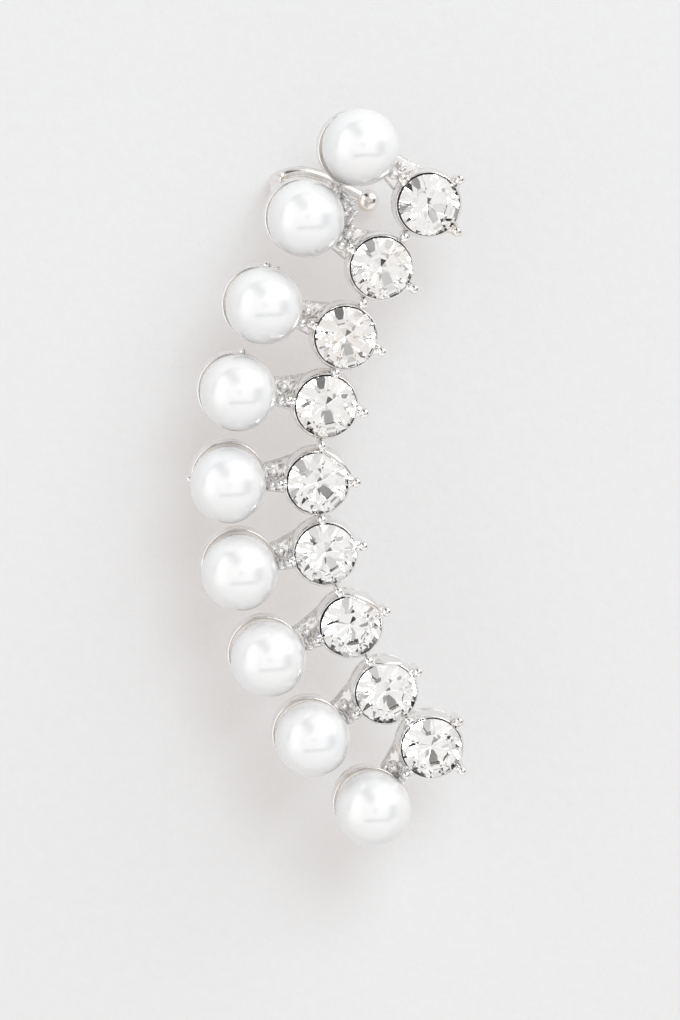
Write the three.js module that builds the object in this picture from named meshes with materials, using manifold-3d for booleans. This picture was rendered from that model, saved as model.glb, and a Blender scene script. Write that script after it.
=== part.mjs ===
// Pearl and crystal ear cuff, lying face up on its wire hook and its lobe post.
// Millimetres. +Z is up, +Y points to the end with the ear hook, -X to the outer edge.
// Nine equal units stand side by side on an arc. Each has a pearl in a round cup on the
// outside and a cut stone in a claw setting on the inside. The hook and the post are
// soldered behind the cups, so all the metal is one solid.

import * as THREE from 'three';
import { ConvexGeometry } from 'three/addons/geometries/ConvexGeometry.js';
import { mergeVertices } from 'three/addons/utils/BufferGeometryUtils.js';
import Module from 'manifold-3d';

// Row of units
const UNIT_COUNT = 9;
const UNIT_ANGLE = 11.15; // degrees from one unit to the next, about the arc's centre

// Clearances
const SEAT_CLEARANCE = 0.3; // between a pearl or a stone and the metal under it
const SIDE_CLEARANCE = 0.18; // between a stone's edge and the claws around it
const WELD = 0.15; // how far joined metal pieces run into each other

// Pearl and its cup
const PEARL_DIAMETER = 5;
const CUP_FLOOR = 0.5;
const CUP_WALL = 0.3;
const CUP_RIM_DROP = 1.75; // from the pearl's middle down to the cup's rim
const CUP_BACK_RADIUS = 2.1; // of the cup's flat back
const CUP_TAPER = 0.5; // height of the slanted edge between the back and the upright wall

// Stone
const STONE_DIAMETER = 4;
const STONE_TABLE_DIAMETER = 2.3;
const STONE_CROWN = 0.65;
const STONE_GIRDLE = 0.15;
const STONE_PAVILION = 1.75;

// Claw setting
const SETTING_RIM_OUTSET = 0.3; // from the stone's edge to the rim's outer edge
const SETTING_WALL = 0.35;
const SETTING_FLOOR = 0.5;
const SETTING_BACK_RADIUS = 2;
const SETTING_TAPER = 0.4; // height of the slanted edge between the back and the upright wall
const CLAW_BALL_DIAMETER = 0.56;
const CLAW_WIDTH = 0.42;
const CLAW_TIP_RISE = 0.2; // from the stone's edge up to the middle of the claw's ball
const CLAW_LENGTH = 2.3; // from the middle of the ball down to the claw's root

// Arm from a setting to its cup
const ARM_REACH = 1; // free length between the setting and the cup
const ARM_WIDTH = 2.4;
const ARM_ROOT_ANGLE = 62; // degrees round the setting, from the arm's middle to its hollow corners
const ARM_LIFT = 0.25; // from the flat backs up to the arm's underside
const ARM_HEIGHT = 1.2;

// Ear hook, a bent wire with a ball at its free end
const HOOK_UNIT = 2;
const WIRE_DIAMETER = 0.9;
const WIRE_SINK = 0.3; // depth of the front leg's solder joint in the cup's floor
const HOOK_GAP = 4.45; // height that is free for the ear between the front leg and the ball
const HOOK_BALL_DIAMETER = 1.5;
const HOOK_BEND_RADIUS = 0.8;
const HOOK_ROOT_INSET = 1; // from the middle of the cup's back inwards to the wire's start
const HOOK_OUTSET = 2.2; // from the middle of the cup's back outwards to the bend
const HOOK_SIDESTEP = 0.5; // of the front leg, from the unit's own line towards the cuff's end
const HOOK_LEAN = 0.5; // how much further sideways the back leg starts than the front leg
const HOOK_BOW_INSET = 1; // from the middle of the cup's back inwards to the back leg's bow
const HOOK_BOW_SIDESTEP = 2.6;
const HOOK_BALL_INSET = 4.1; // from the middle of the cup's back inwards to the ball
const HOOK_BALL_SIDESTEP = 3.1;

// Lobe post
const POST_UNIT = 8;
const POST_DIAMETER = 0.9;
const POST_OUTSET = 0.8; // from the middle of the cup's back outwards, under the weight

// Fineness of round shapes, as sides of a full turn or steps along a path
const CUP_SIDES = 20;
const CUP_BOWL_STEPS = 4;
const SETTING_SIDES = 20;
const ARM_CORNER_STEPS = 4;
const PEARL_SIDES = 16;
const PEARL_RINGS = 10;
const STONE_SIDES = 16;
const CLAW_BALL_SIDES = 8;
const CLAW_BALL_RINGS = 6;
const WIRE_SIDES = 10;
const WIRE_STEPS = 36;
const HOOK_BALL_SIDES = 14;
const HOOK_BALL_RINGS = 10;
const POST_SIDES = 12;

// Heights above the flat backs of the cups and settings
const pearlRadius = PEARL_DIAMETER / 2;
const pearlHeight = CUP_FLOOR + SEAT_CLEARANCE + pearlRadius;
const cupRimHeight = pearlHeight - CUP_RIM_DROP;
const culetHeight = SETTING_FLOOR + SEAT_CLEARANCE;
const girdleHeight = culetHeight + STONE_PAVILION;
const settingRimHeight = girdleHeight - SEAT_CLEARANCE;
const clawBallHeight = girdleHeight + STONE_GIRDLE + CLAW_TIP_RISE;

// Radii and distances seen from the front
const bowlRadius = pearlRadius + SEAT_CLEARANCE;
const cupInnerRadius = Math.sqrt(bowlRadius ** 2 - CUP_RIM_DROP ** 2);
const cupOuterRadius = cupInnerRadius + CUP_WALL;
const stoneRadius = STONE_DIAMETER / 2;
const settingOuterRadius = stoneRadius + SETTING_RIM_OUTSET;
const settingInnerRadius = settingOuterRadius - SETTING_WALL;
const clawBallRadius = CLAW_BALL_DIAMETER / 2;
const clawInnerDistance = stoneRadius + SIDE_CLEARANCE;
const clawDistance = clawInnerDistance + clawBallRadius;
const wireRadius = WIRE_DIAMETER / 2;
const hookBallRadius = HOOK_BALL_DIAMETER / 2;

// The stones' arc is as large as lets neighbours share a claw. The pearls' arc lies one
// arm's reach outside it, or further out where the cups would otherwise touch.
const unitAngle = THREE.MathUtils.degToRad(UNIT_ANGLE);
const halfChord = Math.sin(unitAngle / 2);
const stoneArcRadius = clawDistance / halfChord;
const widestBulb = Math.max(cupOuterRadius, pearlRadius);
const pearlArcRadius = Math.max(
  stoneArcRadius + settingOuterRadius + ARM_REACH + widestBulb,
  (widestBulb + SEAT_CLEARANCE / 2) / halfChord,
);

// Below the flat backs: the front leg is sunk in the cup's floor, and the cuff rests on the
// ball, the bend and the post at one level.
const frontLegHeight = WIRE_SINK - wireRadius;
const hookBallHeight = frontLegHeight - wireRadius - HOOK_GAP - hookBallRadius;
const restHeight = hookBallHeight - hookBallRadius;

const silver = { color: 0xc9c9cc, roughness: 0.18, metalness: 1 };
const pearlWhite = { color: 0xf2f0ec, roughness: 0.25, metalness: 0 };
const clearCrystal = { color: 0xe6e9ec, roughness: 0.05, metalness: 0.1 };

const wasm = await Module();
wasm.setup();

// A closed three.js geometry as a solid for joining.
function toSolid(geometry) {
  const bare = geometry.clone();
  bare.deleteAttribute('normal');
  bare.deleteAttribute('uv');
  const merged = mergeVertices(bare, 1e-5);
  const vertProperties = new Float32Array(merged.attributes.position.array);
  const triVerts = new Uint32Array(merged.index.array);
  return new wasm.Manifold(new wasm.Mesh({ numProp: 3, vertProperties, triVerts }));
}

// A joined solid as a three.js geometry.
function toGeometry(solid) {
  const { vertProperties, triVerts, numProp } = solid.getMesh();
  const geometry = new THREE.BufferGeometry();
  geometry.setAttribute('position', new THREE.BufferAttribute(vertProperties, numProp));
  geometry.setIndex(new THREE.BufferAttribute(triVerts, 1));
  geometry.computeVertexNormals();
  return geometry;
}

// Every mesh in a group joined where it stands, as one geometry.
function fuse(group) {
  let fused = null;
  group.updateMatrixWorld(true);
  group.traverse((item) => {
    if (!item.isMesh) return;
    const solid = toSolid(item.geometry.clone().applyMatrix4(item.matrixWorld));
    fused = fused ? fused.add(solid) : solid;
  });
  return toGeometry(fused);
}

// A turned shape with its axis along Z, from rows of [radius, height].
function turned(profile, sides) {
  const points = profile.map(([radius, height]) => new THREE.Vector2(radius, height));
  return new THREE.LatheGeometry(points, sides).rotateX(Math.PI / 2);
}

// A ball with its poles on Z.
function ball(radius, sides, rings) {
  return new THREE.SphereGeometry(radius, sides, rings).rotateX(Math.PI / 2);
}

// The direction of a unit, given as its number from 1 at the hook's end. A fraction lies
// between two units. Local +X points outwards and +Y to the next unit.
function unitGroup(number) {
  const group = new THREE.Group();
  const middle = (UNIT_COUNT + 1) / 2;
  group.rotation.z = Math.PI - (middle - number) * unitAngle;
  return group;
}

function placed(geometry, x, y, z) {
  const mesh = new THREE.Mesh(geometry);
  mesh.position.set(x, y, z);
  return mesh;
}

// Round cup with a bowl that follows the pearl.
function cupGeometry() {
  const profile = [[0, 0], [CUP_BACK_RADIUS, 0]];
  profile.push([cupOuterRadius, CUP_TAPER], [cupOuterRadius, cupRimHeight]);
  const rimAngle = Math.asin(cupInnerRadius / bowlRadius);
  for (let step = 0; step < CUP_BOWL_STEPS; step += 1) {
    const angle = rimAngle * (1 - step / CUP_BOWL_STEPS);
    profile.push([bowlRadius * Math.sin(angle), pearlHeight - bowlRadius * Math.cos(angle)]);
  }
  profile.push([0, CUP_FLOOR]);
  return turned(profile, CUP_SIDES);
}

// Round setting with a conical seat along the stone's pavilion.
function settingGeometry() {
  const seatBottom = settingRimHeight - settingInnerRadius * (STONE_PAVILION / stoneRadius);
  const profile = [
    [0, 0],
    [SETTING_BACK_RADIUS, 0],
    [settingOuterRadius, SETTING_TAPER],
    [settingOuterRadius, settingRimHeight],
    [settingInnerRadius, settingRimHeight],
    [0, seatBottom],
  ];
  return turned(profile, SETTING_SIDES);
}

// Claw on its own at one side of a stone: a post with a ball tip.
function addClaw(group, x, y, lengthX, lengthY) {
  const post = new THREE.BoxGeometry(lengthX, lengthY, CLAW_LENGTH);
  group.add(placed(post, x, y, clawBallHeight - CLAW_LENGTH / 2));
  const tip = ball(clawBallRadius, CLAW_BALL_SIDES, CLAW_BALL_RINGS);
  group.add(placed(tip, x, y, clawBallHeight));
}

// Bar that carries the cup on the setting. Its sides run into the setting's wall in hollow
// corners, and its root ends inside that wall, clear of the stone's seat.
function armGeometry() {
  const side = ARM_WIDTH / 2;
  const end = pearlArcRadius - CUP_BACK_RADIUS + WELD;
  const straight = stoneArcRadius + settingOuterRadius + ARM_REACH / 2;
  const corner = stoneArcRadius + Math.sqrt(settingOuterRadius ** 2 - side ** 2);
  const rootAngle = THREE.MathUtils.degToRad(ARM_ROOT_ANGLE);
  const wallRadius = settingOuterRadius - WELD / 2;
  const wallX = stoneArcRadius + wallRadius * Math.cos(rootAngle);
  const wallY = wallRadius * Math.sin(rootAngle);
  const rootRadius = settingOuterRadius - SETTING_WALL - WELD;
  const outline = new THREE.Shape();
  outline.moveTo(wallX, -wallY);
  outline.quadraticCurveTo(corner, -side, straight, -side);
  outline.lineTo(end, -side);
  outline.lineTo(end, side);
  outline.lineTo(straight, side);
  outline.quadraticCurveTo(corner, side, wallX, wallY);
  outline.absarc(stoneArcRadius, 0, rootRadius, rootAngle, -rootAngle, true);
  outline.closePath();
  return new THREE.ExtrudeGeometry(outline, {
    depth: ARM_HEIGHT,
    curveSegments: ARM_CORNER_STEPS,
    bevelEnabled: false,
  });
}

// Metal of one unit: cup, setting, arm and the two claws on the unit's own line.
function addUnitMetal(metal, number) {
  const unit = unitGroup(number);
  unit.add(placed(cupGeometry(), pearlArcRadius, 0, 0));
  unit.add(placed(settingGeometry(), stoneArcRadius, 0, 0));
  unit.add(placed(armGeometry(), 0, 0, ARM_LIFT));
  addClaw(unit, stoneArcRadius - clawDistance, 0, CLAW_BALL_DIAMETER, CLAW_WIDTH);
  addClaw(unit, stoneArcRadius + clawDistance, 0, CLAW_BALL_DIAMETER, CLAW_WIDTH);
  metal.add(unit);
}

// Claw between two stones, or at the free side of an end stone.
function addSideClaw(metal, number) {
  const between = unitGroup(number);
  const chordMiddle = stoneArcRadius * Math.cos(unitAngle / 2);
  addClaw(between, chordMiddle, 0, CLAW_WIDTH, CLAW_BALL_DIAMETER);
  metal.add(between);
}

// Route through corner points, with each inner corner rounded.
function roundedRoute(corners, radius) {
  const route = new THREE.CurvePath();
  let start = corners[0];
  for (let n = 1; n < corners.length - 1; n += 1) {
    const corner = corners[n];
    const before = corner.clone().add(start.clone().sub(corner).setLength(radius));
    const after = corner.clone().add(corners[n + 1].clone().sub(corner).setLength(radius));
    route.add(new THREE.LineCurve3(start, before));
    route.add(new THREE.QuadraticBezierCurve3(before, corner, after));
    start = after;
  }
  route.add(new THREE.LineCurve3(start, corners.at(-1)));
  return route;
}

// Ear hook: front leg along the cup's back, bend past its outer edge, back leg to the ball.
function addHook(metal) {
  const unit = unitGroup(HOOK_UNIT);
  const legHeight = restHeight + wireRadius;
  const root = new THREE.Vector3(-HOOK_ROOT_INSET, -HOOK_SIDESTEP, frontLegHeight);
  const bendTop = new THREE.Vector3(HOOK_OUTSET, -HOOK_SIDESTEP, frontLegHeight);
  const bendBottom = new THREE.Vector3(HOOK_OUTSET, -HOOK_SIDESTEP - HOOK_LEAN, legHeight);
  const bow = new THREE.Vector3(-HOOK_BOW_INSET, -HOOK_BOW_SIDESTEP, legHeight);
  const tip = new THREE.Vector3(-HOOK_BALL_INSET, -HOOK_BALL_SIDESTEP, hookBallHeight);
  const section = new THREE.Shape();
  section.absarc(0, 0, wireRadius, 0, 2 * Math.PI);
  const wire = new THREE.ExtrudeGeometry(section, {
    steps: WIRE_STEPS,
    curveSegments: WIRE_SIDES / 2,
    extrudePath: roundedRoute([root, bendTop, bendBottom, bow, tip], HOOK_BEND_RADIUS),
  });
  unit.add(placed(wire, pearlArcRadius, 0, 0));
  const tipBall = ball(hookBallRadius, HOOK_BALL_SIDES, HOOK_BALL_RINGS);
  unit.add(placed(tipBall, pearlArcRadius + tip.x, tip.y, tip.z));
  metal.add(unit);
}

// Lobe post: a plain pin behind a cup, as long as the hook is deep.
function addPost(metal) {
  const unit = unitGroup(POST_UNIT);
  const top = CUP_FLOOR / 2;
  const length = top - restHeight;
  const radius = POST_DIAMETER / 2;
  const pin = new THREE.CylinderGeometry(radius, radius, length, POST_SIDES).rotateX(Math.PI / 2);
  unit.add(placed(pin, pearlArcRadius + POST_OUTSET, 0, top - length / 2));
  metal.add(unit);
}

// All the metal, joined into one solid.
function metalFrameGeometry() {
  const metal = new THREE.Group();
  for (let number = 1; number <= UNIT_COUNT; number += 1) addUnitMetal(metal, number);
  for (let gap = 0; gap <= UNIT_COUNT; gap += 1) addSideClaw(metal, gap + 0.5);
  addHook(metal);
  addPost(metal);
  return fuse(metal);
}

// Round brilliant stone: table, crown, girdle and pavilion, as the hull of its corners.
function stoneGeometry() {
  const corners = [new THREE.Vector3(0, 0, culetHeight)];
  const ring = (radius, height, count, turn) => {
    for (let n = 0; n < count; n += 1) {
      const angle = ((n + turn) / count) * 2 * Math.PI;
      corners.push(new THREE.Vector3(radius * Math.cos(angle), radius * Math.sin(angle), height));
    }
  };
  const crownFoot = girdleHeight + STONE_GIRDLE;
  ring(stoneRadius, girdleHeight, STONE_SIDES, 0);
  ring(stoneRadius, crownFoot, STONE_SIDES, 0);
  ring(STONE_TABLE_DIAMETER / 2, crownFoot + STONE_CROWN, STONE_SIDES / 2, 0.5);
  return new ConvexGeometry(corners);
}

function addPiece(cuff, unit, name, geometry, look, radius, height) {
  const mesh = new THREE.Mesh(geometry, new THREE.MeshStandardMaterial(look));
  mesh.name = name;
  mesh.position.set(radius, 0, height);
  unit.add(mesh);
  cuff.add(unit);
}

const cuff = new THREE.Group();
const metalFrame = new THREE.Mesh(metalFrameGeometry(), new THREE.MeshStandardMaterial(silver));
metalFrame.name = 'metal_frame';
cuff.add(metalFrame);

const pearlGeometry = ball(pearlRadius, PEARL_SIDES, PEARL_RINGS);
const cutStoneGeometry = stoneGeometry();
for (let number = 1; number <= UNIT_COUNT; number += 1) {
  const unit = unitGroup(number);
  addPiece(cuff, unit, `pearl_${number}`, pearlGeometry, pearlWhite, pearlArcRadius, pearlHeight);
  addPiece(cuff, unit, `stone_${number}`, cutStoneGeometry, clearCrystal, stoneArcRadius, 0);
}

// The origin is in the middle of the cuff, on the surface that it rests on.
cuff.updateMatrixWorld(true);
const box = new THREE.Box3().setFromObject(cuff, true);
cuff.position.set(-(box.min.x + box.max.x) / 2, -(box.min.y + box.max.y) / 2, -box.min.z);

export default cuff;
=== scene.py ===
"""Ear cuff with nine pearls in cups and nine cut stones in claw settings, lying face up."""

import math

import bpy
from bpy.props import FloatProperty, FloatVectorProperty, PointerProperty
from mathutils import Matrix, Vector


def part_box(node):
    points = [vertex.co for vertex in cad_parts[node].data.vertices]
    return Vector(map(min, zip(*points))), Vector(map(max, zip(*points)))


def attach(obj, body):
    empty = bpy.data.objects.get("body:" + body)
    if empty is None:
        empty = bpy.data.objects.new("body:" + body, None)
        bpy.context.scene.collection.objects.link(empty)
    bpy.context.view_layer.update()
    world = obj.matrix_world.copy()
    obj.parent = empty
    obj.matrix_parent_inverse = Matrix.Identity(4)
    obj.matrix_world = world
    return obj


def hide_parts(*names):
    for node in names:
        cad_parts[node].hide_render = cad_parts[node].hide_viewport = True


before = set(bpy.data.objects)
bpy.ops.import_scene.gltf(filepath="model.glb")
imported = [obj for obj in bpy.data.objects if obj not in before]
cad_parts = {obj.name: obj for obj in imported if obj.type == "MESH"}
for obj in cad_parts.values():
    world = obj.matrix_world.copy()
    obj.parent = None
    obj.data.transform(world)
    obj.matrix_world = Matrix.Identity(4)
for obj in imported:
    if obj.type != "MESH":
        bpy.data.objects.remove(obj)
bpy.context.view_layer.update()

bl_info = {
    "name": "Pearl and crystal ear cuff",
    "version": (1, 0, 0),
    "blender": (4, 5, 0),
    "location": "3D View > Sidebar > Ear cuff",
    "description": "Models the ear cuff's pearls, stones and metalwork around its packed frame",
    "category": "Add Mesh",
}

MM = 0.001
UNITS = range(1, 10)
FULL_TURN = 2 * math.pi

# Heights above the flat backs of the cups and settings, as the CAD model has them, and the
# height of those backs above the sheet
PEARL_SEAT = 0.8 * MM
CULET = 0.8 * MM
GIRDLE = 2.55 * MM
GIRDLE_TOP = 2.7 * MM
TABLE = 3.35 * MM
CLAW_BALL = 2.9 * MM
PEARL_LOW, PEARL_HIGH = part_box("pearl_5")
BACKS = PEARL_LOW.z - PEARL_SEAT

# How far each pearl is seated off its place in the row, to the right and up in plan, in mm
PEARL_SEATING = (
    (-0.21, -0.12), (0.0, 0.04), (0.06, -0.17), (0.04, 0.02), (-0.14, 0.04),
    (-0.08, 0.25), (-0.01, 0.25), (-0.02, 0.14), (0.13, -0.02),
)
# The same for each cup, counted from its seated pearl
CUP_SEATING = (
    (-0.19, -0.18), (-0.1, 0.0), (-0.2, 0.0), (-0.14, 0.0), (0.1, 0.22),
    (0.04, 0.22), (-0.14, 0.12), (-0.1, 0.05), (-0.08, 0.05),
)
# The same for each stone with its setting
STONE_SEATING = (
    (0.08, 0.16), (0.05, -0.05), (-0.02, -0.17), (0.07, 0.08), (-0.07, -0.07),
    (-0.09, 0.12), (0.11, -0.05), (0.09, -0.25), (0.0, -0.23),
)

# Each stone is pushed to one side of its setting, in mm, which opens a thin gap on the other, dark
# with shade and with the painted shade inside the setting
STONE_SHIFT = (0.045, -0.04)
# How each stone is turned about its axis and tilted in its setting, in degrees
STONE_TURNS = (4, -9, 13, 0, 20, -5, 9, 17, -12)
STONE_TILTS = (
    (1.5, -1), (-2, 1), (1, 2), (-1, 1.5), (2, -2), (0, 1.5), (-1.5, -1), (1, -2), (2, 1),
)


class Unit:
    """One pearl with its cup, arm and stone setting, as the CAD model places them."""

    def __init__(self, number):
        self.pearl = sum(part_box(f"pearl_{number}"), Vector()) / 2
        self.stone = sum(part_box(f"stone_{number}"), Vector()) / 2
        outward = self.pearl - self.stone
        self.turn = math.atan2(outward.y, outward.x)
        self.pearl += Vector((*PEARL_SEATING[number - 1], 0.0)) * MM
        self.stone += Vector((*STONE_SEATING[number - 1], 0.0)) * MM

    def at_stone(self, turn=0.0):
        """The setting's place on the flat backs' level, turned further."""
        place = Matrix.Translation((self.stone.x, self.stone.y, BACKS))
        return place @ Matrix.Rotation(self.turn + turn, 4, "Z")

    def at_pearl(self, shift=(0.0, 0.0)):
        """The cup's place on the flat backs' level, shifted in plan by mm."""
        x, y = self.pearl.x + shift[0] * MM, self.pearl.y + shift[1] * MM
        return Matrix.Translation((x, y, BACKS)) @ Matrix.Rotation(self.turn, 4, "Z")


ROW = {number: Unit(number) for number in UNITS}


def cup_place(number):
    """Where a cup stands, with its own seating."""
    return ROW[number].at_pearl(CUP_SEATING[number - 1])


# ---- modelling helpers

def alone(piece):
    """Selects one object and makes it active."""
    if bpy.context.mode != "OBJECT":
        bpy.ops.object.mode_set(mode="OBJECT")
    bpy.ops.object.select_all(action="DESELECT")
    if piece is not None:
        piece.select_set(True)
        bpy.context.view_layer.objects.active = piece


def started(name):
    """Names the primitive that was just added."""
    piece = bpy.context.active_object
    piece.name = piece.data.name = name
    return piece


def pick(piece, choose, kind="VERT"):
    """Selects the vertices or faces that choose() accepts, and leaves edit mode on."""
    bpy.ops.object.mode_set(mode="EDIT")
    bpy.ops.mesh.select_mode(type=kind)
    bpy.ops.mesh.select_all(action="DESELECT")
    bpy.ops.object.mode_set(mode="OBJECT")
    items = piece.data.vertices if kind == "VERT" else piece.data.polygons
    for item in items:
        item.select = bool(choose(item))
    bpy.ops.object.mode_set(mode="EDIT")


def closed_up(piece, gap=1e-7):
    """Merges doubled vertices and turns all faces outwards."""
    alone(piece)
    bpy.ops.object.mode_set(mode="EDIT")
    bpy.ops.mesh.select_all(action="SELECT")
    bpy.ops.mesh.remove_doubles(threshold=gap)
    bpy.ops.mesh.normals_make_consistent(inside=False)
    bpy.ops.object.mode_set(mode="OBJECT")


def with_modifier(piece, kind, **settings):
    """Adds a modifier, sets it and applies it."""
    alone(piece)
    bpy.ops.object.modifier_add(type=kind)
    modifier = piece.modifiers[-1]
    for key, value in settings.items():
        setattr(modifier, key, value)
    bpy.ops.object.modifier_apply(modifier=modifier.name)


def smooth(piece, angle):
    """Shades a piece smooth, but for edges sharper than the angle in degrees."""
    alone(piece)
    bpy.ops.object.shade_smooth_by_angle(angle=math.radians(angle))


def turned(name, profile, steps=64):
    """A piece turned about Z from rows of (radius, height) in mm."""
    alone(None)
    bpy.ops.mesh.primitive_plane_add(size=MM)
    piece = started(name)
    bpy.ops.object.mode_set(mode="EDIT")
    bpy.ops.mesh.select_mode(type="VERT")
    bpy.ops.mesh.select_all(action="SELECT")
    bpy.ops.mesh.merge(type="CENTER")
    last = (0.0, 0.0)
    for row, point in enumerate(profile):
        step = ((point[0] - last[0]) * MM, 0.0, (point[1] - last[1]) * MM)
        if row == 0:
            bpy.ops.transform.translate(value=step)
        else:
            bpy.ops.mesh.extrude_vertices_move(TRANSFORM_OT_translate={"value": step})
        last = point
    bpy.ops.mesh.select_all(action="SELECT")
    bpy.ops.mesh.spin(steps=steps, angle=FULL_TURN, center=(0, 0, 0), axis=(0, 0, 1))
    bpy.ops.object.mode_set(mode="OBJECT")
    closed_up(piece, 2e-6)
    return piece


def ball(name, radius, place, fineness=3):
    """A ball about a place, all in metres."""
    alone(None)
    bpy.ops.mesh.primitive_ico_sphere_add(subdivisions=fineness, radius=radius, location=place)
    piece = started(name)
    bpy.ops.object.transform_apply(location=True, rotation=True, scale=True)
    return piece


def joined(name, pieces):
    """Several pieces as one object."""
    alone(pieces[0])
    for piece in pieces:
        piece.select_set(True)
    if len(pieces) > 1:
        bpy.ops.object.join()
    return started(name)


def welded(piece, other):
    """Two closed pieces fused into one skin."""
    alone(piece)
    bpy.ops.object.modifier_add(type="BOOLEAN")
    modifier = piece.modifiers[-1]
    modifier.operation, modifier.solver, modifier.object = "UNION", "EXACT", other
    bpy.ops.object.modifier_apply(modifier=modifier.name)
    alone(other)
    bpy.ops.object.delete()
    alone(piece)
    return piece


def copied(master, name, place):
    """A copy of the master with its own mesh, with its place in that mesh."""
    alone(master)
    bpy.ops.object.duplicate(linked=False)
    piece = started(name)
    piece.matrix_world = place
    bpy.ops.object.transform_apply(location=True, rotation=True, scale=True)
    return piece


def removed(master):
    """Deletes a master once its copies are made."""
    alone(master)
    bpy.ops.object.delete()


def wire(name, points, radius, taper=None):
    """A round wire through points in metres, with a thickness factor at each."""
    alone(None)
    bpy.ops.curve.primitive_nurbs_path_add()
    piece = started(name)
    spline = piece.data.splines[0]
    spline.points.add(len(points) - len(spline.points))
    for row, point in enumerate(points):
        spline.points[row].co = (*point, 1.0)
        spline.points[row].radius = taper[row] if taper else 1.0
    spline.order_u = 3
    spline.use_endpoint_u = True
    piece.data.resolution_u = 4
    piece.data.bevel_depth = radius
    piece.data.bevel_resolution = 4
    piece.data.use_fill_caps = True
    bpy.ops.object.convert(target="MESH")
    bpy.ops.object.transform_apply(location=True, rotation=True, scale=True)
    closed_up(piece)
    return piece


def finished(piece, nodes, material):
    """Gives a piece its finish and ties it to the frame."""
    piece.data.materials.clear()
    piece.data.materials.append(material)
    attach(piece, "root")
    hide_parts(*nodes)
    return piece


# ---- finishes

class Link:
    """A node's output. Sums and products of it add Math nodes."""

    def __init__(self, finish, socket):
        self.finish, self.socket = finish, socket

    def maths(self, operation, first, second):
        return self.finish.node("Math", {"operation": operation}, {0: first, 1: second})

    def __add__(self, other):
        return self.maths("ADD", self, other)

    def __radd__(self, other):
        return self.maths("ADD", other, self)

    def __sub__(self, other):
        return self.maths("SUBTRACT", self, other)

    def __rsub__(self, other):
        return self.maths("SUBTRACT", other, self)

    def __mul__(self, other):
        return self.maths("MULTIPLY", self, other)

    def __rmul__(self, other):
        return self.maths("MULTIPLY", other, self)


class Nodes:
    """A node tree under construction."""

    def __init__(self, tree):
        self.tree = tree

    def node(self, kind, settings=None, sockets=None, output=0):
        """A node of a kind, its settings first and then its sockets' values or links."""
        made = self.tree.nodes.new("ShaderNode" + kind)
        for key, value in (settings or {}).items():
            setattr(made, key, value)
        for key, value in (sockets or {}).items():
            self.feed(made.inputs[key], value)
        return Link(self, made.outputs[output])

    def feed(self, socket, value):
        """Links a socket to a node's output, or sets its value."""
        if isinstance(value, Link):
            self.tree.links.new(value.socket, socket)
        else:
            socket.default_value = value

    def place(self):
        return self.node("TexCoord", output="Object")

    def noise(self, size, detail=2.0, rough=0.5):
        """Noise whose features are about size metres across."""
        return self.node("TexNoise", {}, {
            "Vector": self.place(), "Scale": 1 / size, "Detail": detail, "Roughness": rough})

    def ramp(self, value, low, high):
        """0 below low, 1 above high, smooth between them."""
        settings = {"interpolation_type": "SMOOTHSTEP"}
        return self.node("MapRange", settings, {"Value": value, "From Min": low, "From Max": high})

    def mix(self, factor, first, second):
        return self.node("Mix", {"data_type": "RGBA"}, {0: factor, 6: first, 7: second}, 2)

    def bump(self, height, distance, strength=1.0):
        return self.node("Bump", {}, {"Height": height, "Distance": distance, "Strength": strength})


class Finish(Nodes):
    """A material under construction."""

    def __init__(self, name):
        self.material = bpy.data.materials.new(name)
        self.material.use_nodes = True
        super().__init__(self.material.node_tree)
        self.shader = self.tree.nodes["Principled BSDF"]

    def set(self, **sockets):
        for key, value in sockets.items():
            self.feed(self.shader.inputs[key.replace("_", " ")], value)


def rgba(colour):
    return (*colour[:3], 1.0)


def silver_finish(look):
    """Bright plated casting with soft waves, fine grain and a faint warm tarnish in places."""
    f = Finish("silver_plate")
    waves = f.noise(0.9 * MM, 2.0, 0.45)
    grain = f.noise(0.09 * MM, 3.0, 0.6)
    stain = f.ramp(f.noise(1.7 * MM, 3.0, 0.55), 0.5, 0.78)
    colour = f.mix(stain * 0.55, rgba(look.silver_colour), rgba(look.warm_silver_colour))
    f.set(
        Base_Color=colour,
        Metallic=1.0,
        Roughness=0.05 + 0.08 * grain + 0.07 * stain,
        Normal=f.bump(waves + 0.08 * grain, 0.05 * MM),
    )
    return f.material


def cast_finish(look):
    """Plated casting as it left the mould: streaked, pitted and greyer than the polished parts."""
    f = Finish("cast_plate")
    pits = f.noise(0.16 * MM, 4.0, 0.65)
    streaks = f.noise(0.5 * MM, 3.0, 0.6)
    shade = f.ramp(streaks, 0.35, 0.65)
    f.set(
        Base_Color=f.mix(shade, rgba(look.cast_colour), rgba(look.silver_colour)),
        Metallic=1.0,
        Roughness=0.12 + 0.25 * pits,
        Normal=f.bump(pits + 0.8 * streaks, 0.09 * MM),
    )
    return f.material


def solder_finish(look):
    """Bright frosted solder."""
    f = Finish("solder")
    frost = f.noise(0.1 * MM, 3.0, 0.6)
    f.set(
        Base_Color=f.mix(frost * 0.4, rgba(look.solder_colour), rgba(look.silver_colour)),
        Metallic=0.9,
        Roughness=0.12 + 0.2 * frost,
        Normal=f.bump(frost, 0.02 * MM),
    )
    return f.material


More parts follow.
